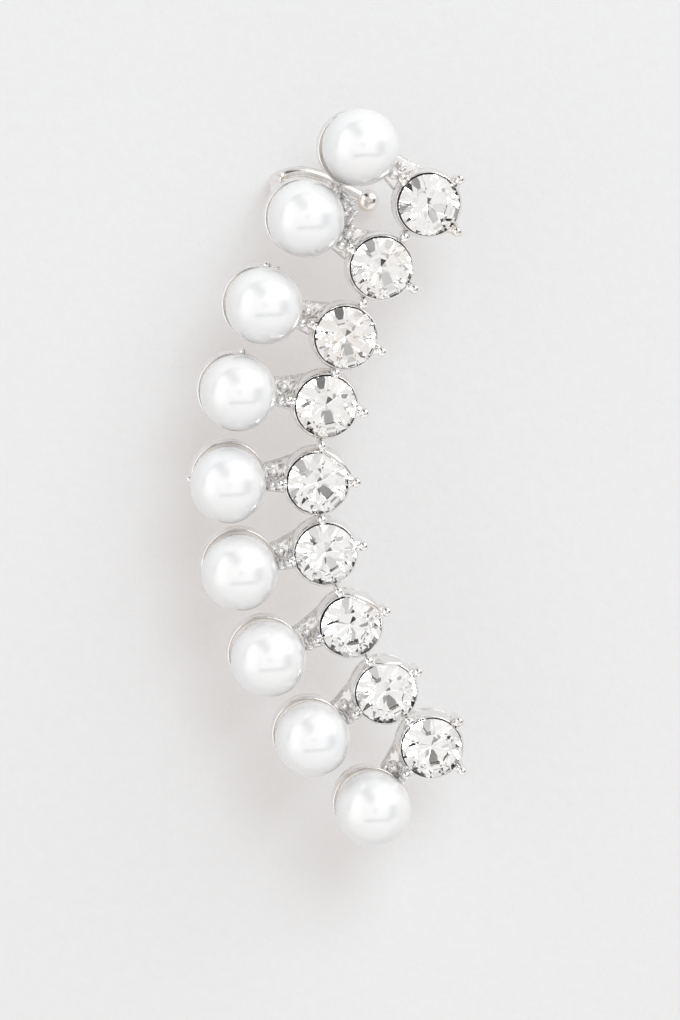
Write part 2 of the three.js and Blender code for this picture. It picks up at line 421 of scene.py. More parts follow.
def hook_finish(look, shade_spot):
    """Polished wire whose plating has yellowed, with fine draw marks, and painted shade on the
    ball's lower left side.
    """
    f = Finish("hook_plate")
    marks = f.noise(0.07 * MM, 3.0, 0.6)
    stain = f.ramp(f.noise(1.2 * MM, 2.0, 0.5), 0.4, 0.7)
    # Painted shade: about the shade spot, on the ball's lower left side, the colour turns to the
    # yellowed plating's, warmer and darker
    away = f.node("VectorMath", {"operation": "DISTANCE"}, {0: f.place(), 1: tuple(shade_spot)}, "Value")
    painted_shade_patch = 1.0 - f.ramp(away, 0.2 * MM, 1.0 * MM)
    stain = f.node("Math", {"operation": "MAXIMUM"}, {0: stain, 1: painted_shade_patch})
    f.set(
        Base_Color=f.mix(stain * 0.8, rgba(look.silver_colour), rgba(look.hook_colour)),
        Metallic=1.0,
        Roughness=0.1 + 0.12 * marks,
        Normal=f.bump(marks, 0.006 * MM),
    )
    return f.material


def seat_finish(look, name, edge_shade=0.0):
    """Pale glue that fills the cups up to the pearls, and painted shade at its edge: a warmer,
    slightly darker line on the rim's inner lip, in the crease beside the pearl.
    """
    f = Finish(name)
    skin = f.noise(0.3 * MM, 3.0, 0.6)
    colour = f.mix(edge_shade + skin * 0.2, rgba(look.seat_colour), rgba(look.warm_silver_colour))
    f.set(
        Base_Color=colour,
        Roughness=0.3 + 0.2 * skin,
        Normal=f.bump(skin, 0.03 * MM),
    )
    return f.material


def painted_shade_finish(look):
    """Painted shade: dull, brownish near-black plating deep inside the settings, around the stones.
    """
    f = Finish("painted_shade_plate")
    film = f.noise(0.5 * MM, 3.0, 0.6)
    f.set(
        Base_Color=f.mix(film * 0.6, rgba(look.painted_shade_colour), rgba(look.warm_silver_colour)),
        Metallic=0.7,
        Roughness=0.35 + 0.2 * film,
        Normal=f.bump(film, 0.02 * MM),
    )
    return f.material


def nacre_finish(look):
    """Imitation pearl: white body under a pearlescent coat with faint cool and warm clouds."""
    f = Finish("nacre")
    cloud = f.ramp(f.noise(2.6 * MM, 2.0, 0.4), 0.35, 0.7)
    blush = f.ramp(f.noise(1.4 * MM, 2.0, 0.5), 0.4, 0.75)
    speck = f.noise(0.12 * MM, 2.0, 0.5)
    body = f.mix(cloud * 0.5, rgba(look.pearl_colour), rgba(look.pearl_cool_colour))
    body = f.mix(blush * 0.35, body, rgba(look.pearl_warm_colour))
    f.set(
        Base_Color=body,
        Roughness=0.17 + 0.06 * speck,
        IOR=2.1,
        Coat_Weight=1.0,
        Coat_Roughness=0.15,
        Coat_IOR=1.7,
        Normal=f.bump(cloud + 0.1 * speck, 0.003 * MM),
    )
    return f.material


def crystal_finish(look):
    """Clear cut glass with faint polishing haze."""
    f = Finish("crystal")
    haze = f.noise(0.25 * MM, 3.0, 0.6)
    tint = f.mix(haze * 0.3, rgba(look.crystal_colour), (0.97, 0.98, 0.985, 1.0))
    f.set(
        Base_Color=tint,
        Roughness=0.02 * haze,
        IOR=1.58,
        Transmission_Weight=1.0,
    )
    return f.material


def foil_finish(look, name, warm=0.0):
    """Mirror foil behind a stone, with champagne patches as strong as warm says."""
    f = Finish(name)
    patch = f.ramp(f.noise(1.1 * MM, 1.0, 0.4), 0.58, 0.66)
    fine = f.noise(0.15 * MM, 2.0, 0.5)
    colour = f.mix(patch * warm, rgba(look.foil_colour), rgba(look.champagne_colour))
    f.set(
        Base_Color=colour,
        Metallic=1.0,
        Roughness=0.02 + 0.03 * fine,
    )
    return f.material


# The sheet glows a little, as on a light table, which keeps the shadows faint and warm
SHEET_GLOW = 0.424
SHEET_GLOW_COLOUR = (1.0, 0.878, 0.82)


def paper_finish(look):
    """Pale matt sheet with a fine tooth and faint large unevenness."""
    f = Finish("pale_sheet")
    tooth = f.noise(0.8 * MM, 4.0, 0.6)
    broad = f.noise(60 * MM, 2.0, 0.5)
    mottle = f.ramp(tooth, 0.35, 0.65)
    uneven = broad * 0.3 + mottle * 0.7
    f.set(
        Base_Color=f.mix(uneven, rgba(look.floor_colour), rgba(look.floor_warm_colour)),
        Roughness=0.9,
        Normal=f.bump(tooth, 0.1 * MM, 0.6),
        Specular_IOR_Level=0.2,
        Emission_Color=rgba(SHEET_GLOW_COLOUR),
        Emission_Strength=SHEET_GLOW,
    )
    return f.material


FINISHES = {}


def finish(kind, make, *details):
    """A finish by name, made when it is first asked for."""
    if kind not in FINISHES:
        FINISHES[kind] = make(bpy.context.scene.cuff_look, *details)
    return FINISHES[kind]


# ---- pieces

def make_pearls(sizes):
    """Pearls with a blind drill hole in the underside, each a little off the round."""
    nacre = finish("nacre", nacre_finish)
    radius = sizes.pearl_diameter / 2
    for number in UNITS:
        unit = ROW[number]
        pearl = ball(f"pearl_white_{number}", radius, (0, 0, 0), 6)
        pick(pearl, lambda face: face.center.z < -radius * 0.985, "FACE")
        bpy.ops.mesh.inset(thickness=0.02 * MM, depth=0)
        bpy.ops.mesh.extrude_region_move(TRANSFORM_OT_translate={"value": (0, 0, 1.2 * MM)})
        bpy.ops.mesh.select_all(action="SELECT")
        squash = 1.0 - 0.004 * (number % 3)
        bpy.ops.transform.resize(value=(squash, 1.0, 2.0 - squash if number % 2 else 1.0))
        bpy.ops.object.mode_set(mode="OBJECT")
        pearl.location = unit.pearl
        bpy.ops.object.transform_apply(location=True, rotation=True, scale=True)
        closed_up(pearl)
        smooth(pearl, 60)
        finished(pearl, [f"pearl_{number}"], nacre)


def cut_stone(sizes):
    """A round brilliant: a glass disc whose facets are cut one by one."""
    radius = sizes.stone_diameter / 2
    alone(None)
    middle = (CULET + TABLE) / 2
    bpy.ops.mesh.primitive_cylinder_add(
        vertices=64, radius=radius, depth=TABLE - CULET, location=(0, 0, middle))
    stone = started("stone_master")
    bpy.ops.object.transform_apply(location=True, rotation=True, scale=True)
    bpy.ops.object.mode_set(mode="EDIT")

    def cut(count, first, slope, reach, height, upwards):
        """Cuts facets of one slope through points at a reach from the axis and a height."""
        for n in range(count):
            angle = math.radians(first) + n * FULL_TURN / count
            across = (math.cos(angle), math.sin(angle))
            lean = math.radians(slope)
            normal = (
                math.sin(lean) * across[0],
                math.sin(lean) * across[1],
                math.cos(lean) if upwards else -math.cos(lean),
            )
            bpy.ops.mesh.select_all(action="SELECT")
            bpy.ops.mesh.bisect(
                plane_co=(reach * across[0], reach * across[1], height),
                plane_no=normal, use_fill=True, clear_outer=True, threshold=1e-8)

    crown = math.degrees(math.atan((TABLE - GIRDLE_TOP) / (radius - sizes.stone_table / 2)))
    pavilion = math.degrees(math.atan((GIRDLE - CULET) / radius))
    table_side = sizes.stone_table / 2 * math.cos(math.radians(22.5))
    half_way = radius * math.cos(math.radians(22.5))
    cut(8, 0.0, crown, radius, GIRDLE_TOP, True)
    cut(8, 22.5, crown + 3, half_way + 0.09 * MM, GIRDLE_TOP, True)
    cut(8, 22.5, crown - 14, table_side, TABLE, True)
    cut(8, 22.5, pavilion, radius, GIRDLE, False)
    cut(8, 0.0, pavilion + 2.5, half_way + 0.12 * MM, GIRDLE, False)
    bpy.ops.object.mode_set(mode="OBJECT")
    closed_up(stone)
    return stone


# Stones whose foil has champagne patches, and how strong these are
CHAMPAGNE_STONES = {2: 0.12, 3: 0.16, 4: 0.16}


def make_stones(sizes):
    """Cut stones, each turned and tilted in its own way, with foil on the pavilion."""
    master = cut_stone(sizes)
    crystal = finish("crystal", crystal_finish)
    for number in UNITS:
        unit = ROW[number]
        lift = Matrix.Translation((0, 0, GIRDLE))
        about_x, about_y = (math.radians(angle) for angle in STONE_TILTS[number - 1])
        lean = Matrix.Rotation(about_x, 4, "X") @ Matrix.Rotation(about_y, 4, "Y")
        seated = lift @ lean @ lift.inverted()
        gap = Matrix.Translation(Vector((*STONE_SHIFT, 0.0)) * MM)
        place = gap @ unit.at_stone(math.radians(STONE_TURNS[number - 1])) @ seated
        stone = copied(master, f"stone_cut_{number}", place)
        warm = CHAMPAGNE_STONES.get(number, 0.0)
        kind = f"foil_{int(warm * 100)}"
        foil = finish(kind, foil_finish, kind, warm)
        finished(stone, [f"stone_{number}"], crystal)
        stone.data.materials.append(foil)
        for face in stone.data.polygons:
            face.material_index = 1 if face.normal.z < -0.2 else 0
    removed(master)


def inside_finished(piece, middle, reach, low, inside):
    """Another finish for the faces within a reach of an axis and above a height, in mm."""
    piece.data.materials.append(inside)
    for face in piece.data.polygons:
        near = (face.center.xy - middle.xy).length < reach * MM
        if near and face.center.z > BACKS + low * MM:
            face.material_index = len(piece.data.materials) - 1


# Casting nubs left on some cups: place from the cup's middle and size, in mm
CUP_NUBS = {
    3: (((0.4, -2.45, 1.3), 0.3), ((-0.3, -2.5, 1.25), 0.22)),
    4: (((-0.1, -2.5, 1.2), 0.24),),
    5: (((2.5, 0.1, 1.0), 0.2),),
    7: (((2.2, 1.3, 0.9), 0.18),),
}
# How far the glue and the painted shade at its edge reach from a cup's axis, and the cup's floor,
# in mm
GLUE_REACH, GLUE_EDGE_REACH, CUP_FLOOR = 2.21, 2.34, 0.65


def make_cups():
    """Thin-walled cups with a double edge."""
    outer = 2.45
    profile = [
        (0, 0), (1.95, 0), (2.14, 0.07), (2.36, 0.28), (outer + 0.01, 0.46),
        (outer + 0.03, 0.56), (outer + 0.01, 0.66), (outer - 0.05, 0.74), (outer - 0.05, 0.86),
        (outer, 0.94), (outer, 1.5),
        (outer - 0.04, 1.56), (outer - 0.04, 1.66), (outer + 0.01, 1.74), (outer + 0.03, 1.84),
        (outer, 1.93), (outer - 0.05, 1.96), (outer - 0.1, 1.94), (outer - 0.12, 1.9),
        (2.2, 1.86), (2.08, 1.8), (1.9, 1.45), (1.6, 1.14), (1.1, 0.86), (0.6, 0.72), (0, 0.68),
    ]
    master = turned("cup_master", profile, 72)
    with_modifier(master, "BEVEL", width=0.025 * MM, segments=2, limit_method="ANGLE",
                  angle_limit=math.radians(28))
    smooth(master, 50)
    silver = finish("silver", silver_finish)
    for number in UNITS:
        place = cup_place(number)
        cup = copied(master, f"cup_{number}", place)
        for spot, size in CUP_NUBS.get(number, ()):
            nub = ball("nub", size * MM, place @ Vector([part * MM for part in spot]), 3)
            cup = welded(cup, nub)
            started(f"cup_{number}")
        smooth(cup, 40)
        finished(cup, ["metal_frame"], silver)
        # Painted shade on the rim's inner lip: a warmer, slightly darker line in the crease beside
        # the pearl. Within it lies the pale glue
        inside_finished(cup, place.translation, GLUE_EDGE_REACH, CUP_FLOOR,
                        finish("glue_edge", seat_finish, "glue_edge", 0.45))
        inside_finished(cup, place.translation, GLUE_REACH, CUP_FLOOR,
                        finish("glue", seat_finish, "glue"))
    removed(master)


# How far the painted shade inside a setting reaches from its axis, and where it begins, in mm
SETTING_INSIDE_REACH, SETTING_FLOOR = 2.03, 0.9


def make_settings():
    """Round stone settings with a thin rim and two fine gallery grooves."""
    profile = [
        (0, 0), (1.9, 0), (2.1, 0.1), (2.24, 0.36), (2.26, 0.6), (2.19, 0.66), (2.19, 0.76),
        (2.27, 0.82), (2.28, 1.02), (2.21, 1.08), (2.21, 1.18), (2.28, 1.25), (2.27, 1.8),
        (2.22, 2.3), (2.19, 2.46), (2.12, 2.59), (2.09, 2.62), (2.045, 2.61), (2.025, 2.57),
        (2.02, 2.2), (1.2, 1.4), (0.5, 0.8), (0, 0.5),
    ]
    master = turned("setting_master", profile, 72)
    with_modifier(master, "BEVEL", width=0.018 * MM, segments=2, limit_method="ANGLE",
                  angle_limit=math.radians(30))
    silver = finish("silver", silver_finish)
    for number in UNITS:
        setting = copied(master, f"setting_{number}", ROW[number].at_stone())
        smooth(setting, 40)
        finished(setting, ["metal_frame"], silver)
        # Painted shade: the setting's inside is near black, where shade falls between the stone and
        # the wall
        inside_finished(setting, ROW[number].stone, SETTING_INSIDE_REACH, SETTING_FLOOR,
                        finish("painted_shade_inside", painted_shade_finish))
    removed(master)


# An arm's faces below and above these heights over the flat backs, in mm, are rough cast and bright
CAST_BELOW, SOLDER_ABOVE = 1.0, 1.3


def make_arms():
    """Flared arms with ridged sides, and the small beads beside each outer claw.

    An arm's own x runs from the stone to the pearl. It spreads in a wing towards the hook's end
    and is narrow on the other side.
    """
    alone(None)
    rows = 14
    start, end = 0.35, 3.6  # from the stone's middle, in mm
    bpy.ops.mesh.primitive_grid_add(x_subdivisions=rows, y_subdivisions=3, size=1.0)
    arm = started("arm_master")
    for n in range(rows + 1):
        share = n / rows
        x = start + (end - start) * share
        wing = 1.0 + 0.335 * (end - x) - 0.1 * math.sin(math.pi * share)
        plain = 0.68 + 0.12 * (end - x)
        pick(arm, lambda v, at=share - 0.5: abs(v.co.x - at) < 0.5 / rows)
        bpy.ops.transform.resize(value=(1, (wing + plain) * MM, 1), center_override=(0, 0, 0))
        bpy.ops.transform.translate(value=(0, (plain - wing) / 2 * MM, 0))
        bpy.ops.object.mode_set(mode="OBJECT")
    bpy.ops.object.mode_set(mode="EDIT")
    bpy.ops.mesh.select_all(action="SELECT")
    bpy.ops.transform.resize(value=((end - start) * MM, 1, 1), center_override=(0, 0, 0))
    bpy.ops.transform.translate(value=((start + end) / 2 * MM, 0, 0.22 * MM))
    layers = (  # rise in mm and spread, from the underside up
        (0.0, 1.03), (0.2, 1.0), (0.03, 0.95), (0.06, 1.0), (0.03, 1.05), (0.16, 1.0),
        (0.03, 0.94), (0.06, 1.0), (0.03, 1.04), (0.14, 0.97), (0.07, 0.88),
    )
    for rise, spread in layers:
        if rise:
            bpy.ops.mesh.extrude_region_move(TRANSFORM_OT_translate={"value": (0, 0, rise * MM)})
        bpy.ops.transform.resize(value=(1, spread, 1), center_override=(0, 0, 0))
    bpy.ops.object.mode_set(mode="OBJECT")
    closed_up(arm)
    with_modifier(arm, "BEVEL", width=0.02 * MM, segments=2, limit_method="ANGLE",
                  angle_limit=math.radians(25))
    beads = [
        ball("bead_a", 0.31 * MM, (2.95 * MM, 0.2 * MM, 2.35 * MM)),
        ball("bead_b", 0.35 * MM, (2.85 * MM, -0.6 * MM, 1.6 * MM)),
        turned("stem_a", [(0, 0.6), (0.34, 0.6), (0.28, 1.2), (0.2, 2.3), (0, 2.35)], 16),
        turned("stem_b", [(0, 0.6), (0.38, 0.6), (0.32, 1.1), (0.24, 1.55), (0, 1.6)], 16),
    ]
    beads[2] = copied(beads[2], "stem_c", Matrix.Translation((2.95 * MM, 0.2 * MM, 0)))
    beads[3] = copied(beads[3], "stem_d", Matrix.Translation((2.85 * MM, -0.6 * MM, 0)))
    for name in ("stem_a", "stem_b"):
        removed(bpy.data.objects[name])
    for bead in beads:
        arm = welded(arm, bead)
    started("arm_master")
    for number in UNITS:
        copy = copied(arm, f"arm_{number}", ROW[number].at_stone())
        smooth(copy, 40)
        finished(copy, ["metal_frame"], finish("silver", silver_finish))
        copy.data.materials.append(finish("cast", cast_finish))
        copy.data.materials.append(finish("solder", solder_finish))
        for face in copy.data.polygons:
            height = (face.center.z - BACKS) / MM
            face.material_index = 1 if height < CAST_BELOW else 2 if height > SOLDER_ABOVE else 0
    removed(bpy.data.objects["arm_master"])


def claw_master(name, sizes, reach, lean, shouldered):
    """A claw that rises along the setting's wall to a ball at a reach from the stone's axis."""
    alone(None)
    middle, height = reach - 0.08, 1.2  # of the root's top
    root = 0.6
    bpy.ops.mesh.primitive_cylinder_add(
        vertices=16, radius=0.22 * MM, depth=root * MM,
        location=(middle * MM, 0, (height - root / 2) * MM))
    claw = started(name)
    bpy.ops.object.transform_apply(location=True, rotation=True, scale=True)
    pick(claw, lambda face: face.normal.z > 0.9, "FACE")
    stretches = ((0.5, 0.02, 1.0), (0.45, 0.03, 0.95), (0.3, 0.03, 0.88), (0.3, lean, 0.9))
    for rise, step, scale in stretches:
        bpy.ops.mesh.extrude_region_move(
            TRANSFORM_OT_translate={"value": (step * MM, 0, rise * MM)})
        middle, height = middle + step, height + rise
        bpy.ops.transform.resize(
            value=(scale, scale, 1), center_override=(middle * MM, 0, height * MM))
    bpy.ops.object.mode_set(mode="OBJECT")
    closed_up(claw)
    tip = ball("tip", sizes.claw_ball / 2, ((middle + 0.02) * MM, 0, CLAW_BALL), 4)
    claw = welded(claw, tip)
    if shouldered:
        profile = [(0, -0.3), (0.52, -0.3), (0.43, -0.12), (0.31, 0.1), (0, 0.2)]
        shoulder = turned("shoulder", profile, 20)
        shoulder = copied(shoulder, "shoulder_laid", Matrix.Translation(
            ((reach - 0.12) * MM, 0, 2.26 * MM)) @ Matrix.Rotation(math.radians(82), 4, "Y"))
        removed(bpy.data.objects["shoulder"])
        claw = welded(claw, shoulder)
    return started(name)


# Runs of metal along a stone's rim: from and to, in degrees from the right, and half thickness
# in mm
RIM_RUNS = {5: (84, 14, 0.17), 7: (104, 22, 0.18), 8: (118, 62, 0.16)}


def make_claws(sizes):
    """All the claws, and the runs of metal that the casting left along three rims."""
    single = claw_master("claw_single", sizes, 2.54, -0.02, True)
    shared = claw_master("claw_shared", sizes, 0.03, 0.0, False)
    claws = []
    inwards = Matrix.Translation((-0.06 * MM, 0, 0))
    for number in UNITS:
        unit = ROW[number]
        claws.append(copied(single, f"claw_in_{number}", unit.at_stone(math.pi)))
        claws.append(copied(single, f"claw_out_{number}", unit.at_stone() @ inwards))
    for number in range(1, 9):
        first, second = ROW[number].stone, ROW[number + 1].stone
        middle = (first + second) / 2
        turn = math.atan2(second.y - first.y, second.x - first.x)
        place = Matrix.Translation((middle.x, middle.y, BACKS)) @ Matrix.Rotation(turn, 4, "Z")
        claws.append(copied(shared, f"claw_between_{number}", place))
    half_unit = math.atan2(ROW[5].stone.y - ROW[4].stone.y, ROW[5].stone.x - ROW[4].stone.x)
    half_unit = (half_unit - (ROW[5].turn + math.pi / 2) + math.pi) % FULL_TURN - math.pi
    claws.append(copied(single, "claw_end_1", ROW[1].at_stone(-math.pi / 2 - abs(half_unit))))
    claws.append(copied(single, "claw_end_9", ROW[9].at_stone(math.pi / 2 + abs(half_unit))))
    for number, (first, last, thick) in RIM_RUNS.items():
        points, taper = [], []
        for n in range(9):
            share = n / 8
            angle = math.radians(first + (last - first) * share)
            reach = 2.2 - 0.22 * math.sin(math.pi * share)
            centre = ROW[number].stone
            points.append((
                centre.x + reach * MM * math.cos(angle),
                centre.y + reach * MM * math.sin(angle),
                BACKS + (2.72 + 0.1 * math.sin(math.pi * share)) * MM,
            ))
            taper.append(0.75 + 0.35 * math.sin(math.pi * share) + 0.12 * math.sin(5.0 * share))
        claws.append(wire(f"run_{number}", points, thick * MM, taper))
    removed(single)
    removed(shared)
    piece = joined("claws", claws)
    smooth(piece, 40)
    finished(piece, ["metal_frame"], finish("silver", silver_finish))


def route(corners, bend, steps=8):
    """A route through corner points, each inner corner rounded as the CAD wire's is."""
    points, start = [corners[0]], corners[0]
    for n in range(1, len(corners) - 1):
        corner, following = corners[n], corners[n + 1]
        before = corner + (start - corner).normalized() * bend
        after = corner + (following - corner).normalized() * bend
        for step in range(1, 5):
            points.append(start.lerp(before, step / 4))
        for step in range(1, steps + 1):
            t = step / steps
            points.append(before * (1 - t) ** 2 + corner * 2 * t * (1 - t) + after * t * t)
        start = after
    for step in range(1, 7):
        points.append(start.lerp(corners[-1], step / 6))
    return points


# How far the hook's wire sinks into the cup's back, the height free for the ear between the wire
# and the ball, and how far from a corner each bend begins
WIRE_SINK = 0.3 * MM
EAR_GAP = 4.45 * MM
BEND_REACH = 0.8 * MM


def make_ear_hook(sizes):
    """Bent wire with a swollen root, a soldered joint and a ball tip."""
    place = ROW[2].at_pearl()
    radius = sizes.wire_diameter / 2
    front = WIRE_SINK - radius
    leg = radius - BACKS
    low = front - radius - EAR_GAP - sizes.hook_ball / 2
    corners = [
        Vector((-1.0 * MM, -0.5 * MM, front)),
        Vector((2.2 * MM, -0.5 * MM, front)),
        Vector((2.2 * MM, -1.0 * MM, leg)),
        Vector((1.0 * MM, -2.34 * MM, leg)),
        Vector((-0.8 * MM, -2.88 * MM, leg)),
        Vector((-3.84 * MM, -3.13 * MM, low)),
    ]
    points = [place @ point for point in route(corners, BEND_REACH)]
    count = len(points)
    taper = []
    for n in range(count):
        share = n / (count - 1)
        taper.append(1.0 + 0.25 * max(0.0, 1 - share / 0.08) - 0.12 * max(0.0, (share - 0.8) / 0.2))
    hook = wire("ear_hook", points, radius, taper)
    tip = ball("hook_tip", sizes.hook_ball / 2, place @ corners[-1], 5)
    hook = welded(hook, tip)
    joint = ball("joint", 0.72 * MM, (0, 0, 0), 4)
    joint.scale = (1.5, 1.0, 0.45)
    alone(joint)
    bpy.ops.object.transform_apply(location=True, rotation=True, scale=True)
    joint.matrix_world = place @ Matrix.Translation((-0.2 * MM, -0.5 * MM, 0))
    bpy.ops.object.transform_apply(location=True, rotation=True, scale=True)
    welded(hook, joint)
    hook = started("ear_hook")
    smooth(hook, 45)
    # The painted shade on the ball is centred here, on its lower left side
    shade_spot = place @ corners[-1] + Vector((-0.5, -0.4, 0.35)) * sizes.hook_ball / 2
    finished(hook, ["metal_frame"], finish("hook", hook_finish, shade_spot))


# Lumps of solder on the second cup's side: direction from its middle in degrees, reach and height
# above the backs, and radius, in mm
CRUST = (
    (47, 2.55, 1.0, 0.34), (38, 2.7, 1.3, 0.3), (35, 2.95, 0.95, 0.3), (28, 2.6, 0.9, 0.36),
    (24, 3.05, 1.2, 0.32), (16, 2.75, 1.35, 0.34), (16, 3.3, 1.0, 0.3), (8, 3.0, 0.9, 0.34),
    (3, 2.65, 1.15, 0.33), (3, 3.35, 1.25, 0.27), (-6, 3.0, 1.3, 0.3), (-11, 2.7, 0.9, 0.32),
    (-15, 3.25, 1.05, 0.3), (-22, 2.95, 1.25, 0.3), (-27, 3.35, 1.1, 0.28), (-38, 3.45, 1.05, 0.28),
)


def make_solder_crust():
    """Rough run of solder between the second cup and its arm."""
    middle = ROW[2].at_pearl().translation
    crust = None
    for n, (direction, reach, height, radius) in enumerate(CRUST):
        angle = math.radians(direction)
        away = Vector((math.cos(angle), math.sin(angle), 0.0)) * reach * MM
        lump = ball(f"lump_{n}", radius * MM, (0, 0, 0), 3)
        shift = Matrix.Translation(middle + away + Vector((0, 0, height * MM)))
        flat = Matrix.Diagonal((1.25, 0.85, 1.0 + 0.12 * (n % 3), 1.0))
        lump.matrix_world = shift @ Matrix.Rotation(angle + 0.4 * n, 4, "Z") @ flat
        bpy.ops.object.transform_apply(location=True, rotation=True, scale=True)
        crust = lump if crust is None else welded(crust, lump)
    crust = started("solder_crust")
    smooth(crust, 45)
    finished(crust, ["metal_frame"], finish("solder", solder_finish))


def make_lobe_post():
    """Plain post with a soldered foot, a clutch groove and a rounded tip."""
    length = BACKS / MM
    profile = [
        (0, 0.1), (0.85, 0.1), (0.8, -0.04), (0.6, -0.16), (0.49, -0.34), (0.45, -0.6),
        (0.45, -length + 1.35), (0.4, -length + 1.25), (0.38, -length + 1.1), (0.4, -length + 0.95),
        (0.45, -length + 0.85), (0.45, -length + 0.3), (0.36, -length + 0.1), (0.2, -length + 0.01),
        (0, -length),
    ]
    master = turned("post_master", profile, 32)
    place = ROW[8].at_pearl() @ Matrix.Translation((0.8 * MM, 0, 0))
    post = copied(master, "lobe_post", place)
    removed(master)
    smooth(post, 50)
    finished(post, ["metal_frame"], finish("silver", silver_finish))


# ---- stage

def panel_light(name, direction, distance, side, glow, colour):
    """A square softbox that faces the cuff. Glow is how bright its face is."""
    azimuth, elevation = (math.radians(a) for a in direction)
    level = math.cos(elevation)
    away = Vector((level * math.cos(azimuth), level * math.sin(azimuth), math.sin(elevation)))
    data = bpy.data.lights.new(name, "AREA")
    data.shape, data.size = "SQUARE", side
    data.energy = glow * side * side * math.pi
    data.color = colour
    lamp = bpy.data.objects.new(name, data)
    bpy.context.scene.collection.objects.link(lamp)
    lamp.location = away * distance
    lamp.rotation_euler = away.to_track_quat("Z", "Y").to_euler()
    return lamp


# The photograph is taken from almost straight above, from a little left of and beyond the cuff
VIEW_LEAN = Vector((-0.09, 0.16, 1.0))
VIEW_TARGET = Vector((0.726 * MM, -1.845 * MM, 9.5 * MM))
VIEW_DISTANCE = 220 * MM
VIEW_ROLL = -0.0117
PHOTO_HEIGHT, PIXELS_PER_MM = 1020, 15.319
SENSOR_WIDTH = 36.0

# The key light: azimuth and elevation in degrees, distance and side in metres, brightness and
# colour
KEY_DIRECTION, KEY_DISTANCE, KEY_SIDE = (74, 56), 0.6, 0.24
KEY_GLOW, KEY_COLOUR = 10.0, (0.95, 0.98, 1.0)
TENT_GLOW, TENT_COLOUR = 0.955, (1.0, 0.98, 0.97)
BACKDROP_COLOUR = (0.86, 0.86, 0.86)

# The white tent as a bright ball shows it to the camera's place, as shares of the ball's radius.
# Panels shine more than the tent: middle, half width, half height, soft edge, extra light
TENT_PANELS = (
    ((0.4, 0.38), 0.24, 0.22, 0.12, 0.8),
    ((0.34, 0.34), 0.1, 0.12, 0.06, 2.0),
    ((-0.47, 0.08), 0.12, 0.36, 0.15, 0.75),
)
# Gaps are dark: middle, direction, half length, half width, soft edge, depth
TENT_GAPS = (
    ((-0.13, 0.41), (0.26, -0.31), 0.24, 0.12, 0.1, 1.0),
    ((0.52, -0.04), (0.1, 1.0), 0.18, 0.11, 0.09, 1.0),
    ((0.12, -0.26), (1.0, 0.04), 0.35, 0.04, 0.035, 1.0),
    ((0.04, 0.0), (1.0, 0.0), 0.05, 0.05, 0.045, 0.8),
)
# Dim stretches just above the floor: direction in plan, how wide (cosine), top height, depth
HORIZON_GAPS = (
    ((-0.64, 0.77), 0.72, 0.22, 0.55),
    ((0.95, -0.3), 0.85, 0.16, 0.35),
)


def make_tent():
    """White tent with soft panels and a few gaps, which the pearls and the metal mirror."""
    world = bpy.data.worlds.new("tent")
    bpy.context.scene.world = world
    world.use_nodes = True
    w = Nodes(world.node_tree)
    back = VIEW_LEAN.normalized()
    right = Vector((0, 1, 0)).cross(back).normalized()
    up = back.cross(right)
    ray = w.node("TexCoord", output="Generated")

    def along(axis):
        return w.node("VectorMath", {"operation": "DOT_PRODUCT"}, {0: ray, 1: tuple(axis)}, "Value")

    def size(value):
        return w.node("Math", {"operation": "ABSOLUTE"}, {0: value})

    def within(value, half, soft):
        return 1.0 - w.ramp(size(value), half - soft, half + soft)

    # A ball that mirrors this ray has its normal half-way to the camera; the 2.0001 keeps the
    # ray that points straight away from it finite
    spread = w.node("Math", {"operation": "INVERSE_SQRT"}, {0: 2.0001 + 2 * along(back)})
    across, upwards = along(right) * spread, along(up) * spread
    light = 1.0 + 0.1 * w.ramp(0.0 - upwards, 0.1, 0.35)
    for middle, half_width, half_height, soft, extra in TENT_PANELS:
        beside = within(across - middle[0], half_width, soft)
        light = light + extra * (beside * within(upwards - middle[1], half_height, soft))
    for middle, direction, half_length, half_width, soft, depth in TENT_GAPS:
        length = math.hypot(*direction)
        cos, sin = direction[0] / length, direction[1] / length
        x, y = across - middle[0], upwards - middle[1]
        lengthwise = within(x * cos + y * sin, half_length, soft)
        inside = lengthwise * within(y * cos - x * sin, half_width, soft)
        light = light * (1.0 - depth * inside)
    height = along((0, 0, 1))
    for direction, wide, top, depth in HORIZON_GAPS:
        toward = w.ramp(along((*direction, 0)), wide - 0.2, wide)
        light = light * (1.0 - depth * toward * (1.0 - w.ramp(height, top * 0.6, top)))
    tent = w.tree.nodes["Background"]
    tent.inputs["Color"].default_value = rgba(TENT_COLOUR)
    w.feed(tent.inputs["Strength"], light * TENT_GLOW)
    pale = w.node("Background", {}, {"Color": rgba(BACKDROP_COLOUR)})
    seen = w.node("LightPath", output="Is Camera Ray")
    both = w.node("MixShader", {}, {0: seen, 2: pale})
    w.tree.links.new(tent.outputs[0], both.socket.node.inputs[1])
    w.tree.links.new(both.socket, w.tree.nodes["World Output"].inputs[0])


